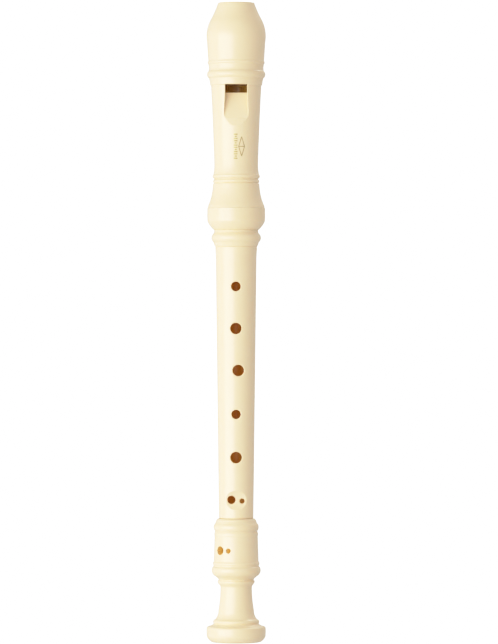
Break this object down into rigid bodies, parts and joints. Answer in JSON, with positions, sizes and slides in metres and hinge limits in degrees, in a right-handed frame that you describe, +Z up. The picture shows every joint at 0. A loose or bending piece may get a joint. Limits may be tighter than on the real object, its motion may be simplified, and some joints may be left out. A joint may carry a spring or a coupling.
{
  "type": "soprano recorder",
  "caption": "Ivory plastic soprano recorder whose head slides and whose foot turns on tenons, with window, finger and thumb holes.",
  "frame": {"origin": "centre of the bell's end face", "axes": "+Z up the bore to the beak, -Y the side of the window and the finger holes, +X to the viewer's right from the front"},
  "size_m": [0.0308, 0.0308, 0.33],
  "materials": {
    "ivory_abs": "satin moulded ABS, warm ivory",
    "block_abs": "satin moulded ABS, warm ivory, slightly duller",
    "gold_foil": "thin hot-stamped gold foil"
  },
  "bodies": {
    "head": {"head_joint": "ivory_abs", "windway_block": "block_abs", "bulb_ring": "ivory_abs"},
    "middle": {"middle_joint": "ivory_abs"},
    "foot": {"foot_joint": "ivory_abs"}
  },
  "joints": [
    {"name": "head_slide", "type": "slide", "parent": "middle", "child": "head", "axis": [0, 0, 1], "range_m": [0, 0.026]},
    {"name": "foot_turn", "type": "hinge", "parent": "middle", "child": "foot", "pos_m": [0, 0, 0.0576], "axis": [0, 0, 1], "continuous": true}
  ]
}
